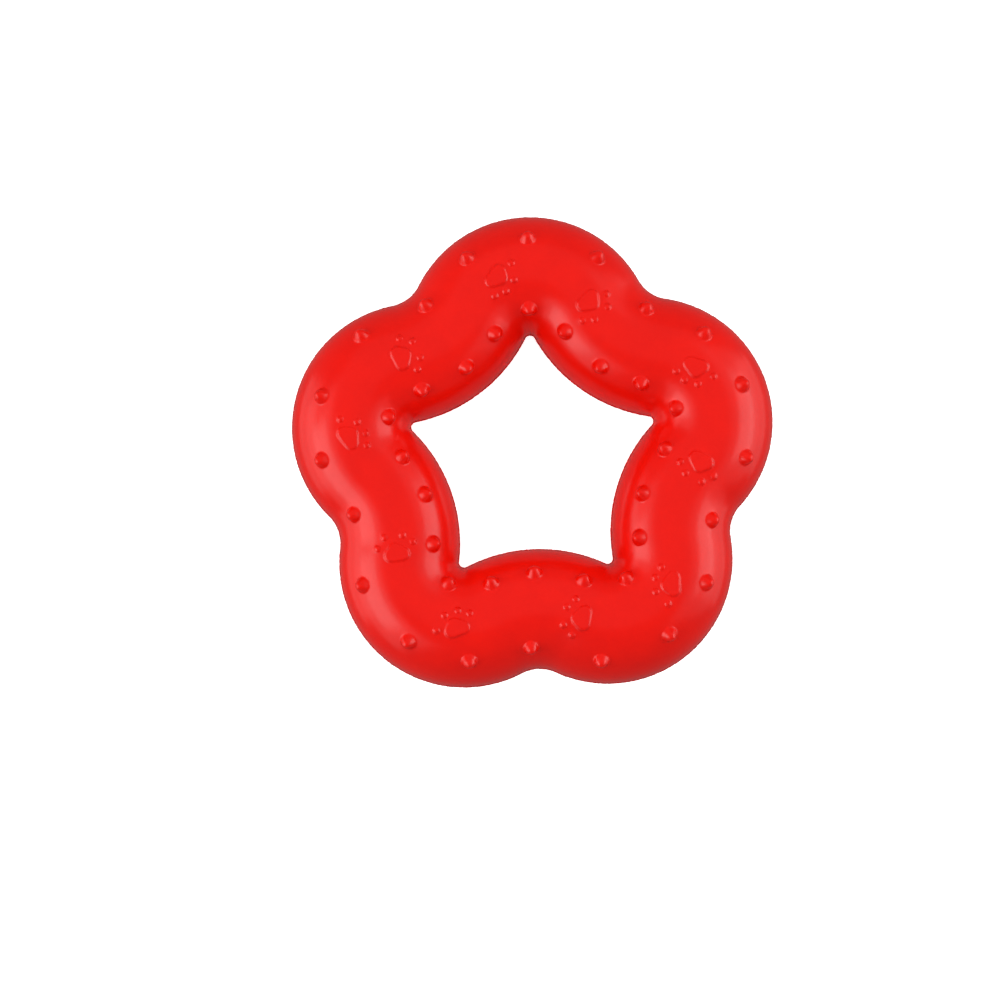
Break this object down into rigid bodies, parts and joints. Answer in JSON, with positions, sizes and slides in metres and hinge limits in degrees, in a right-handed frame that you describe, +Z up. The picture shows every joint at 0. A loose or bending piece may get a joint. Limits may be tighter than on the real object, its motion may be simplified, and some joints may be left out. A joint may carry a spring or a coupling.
{
  "type": "rubber chew ring",
  "caption": "Hollow rubber chew ring for dogs: a round tube bent into a soft star, with raised nubs and paw marks on both faces.",
  "frame": {"origin": "middle of the star hole, in the joint plane between the two halves", "axes": "+Z up out of the upper face, +Y through the middle of one lobe, +X to the right across the two side lobes"},
  "size_m": [0.1354, 0.1323, 0.034],
  "materials": {
    "red_rubber": "satin moulded natural rubber",
    "cured_cement": "matte trimmed flash of the cured joint"
  },
  "bodies": {
    "root": {"upper_shell": "red_rubber", "lower_shell": "red_rubber", "outer_bond": "cured_cement", "inner_bond": "cured_cement"}
  },
  "joints": []
}
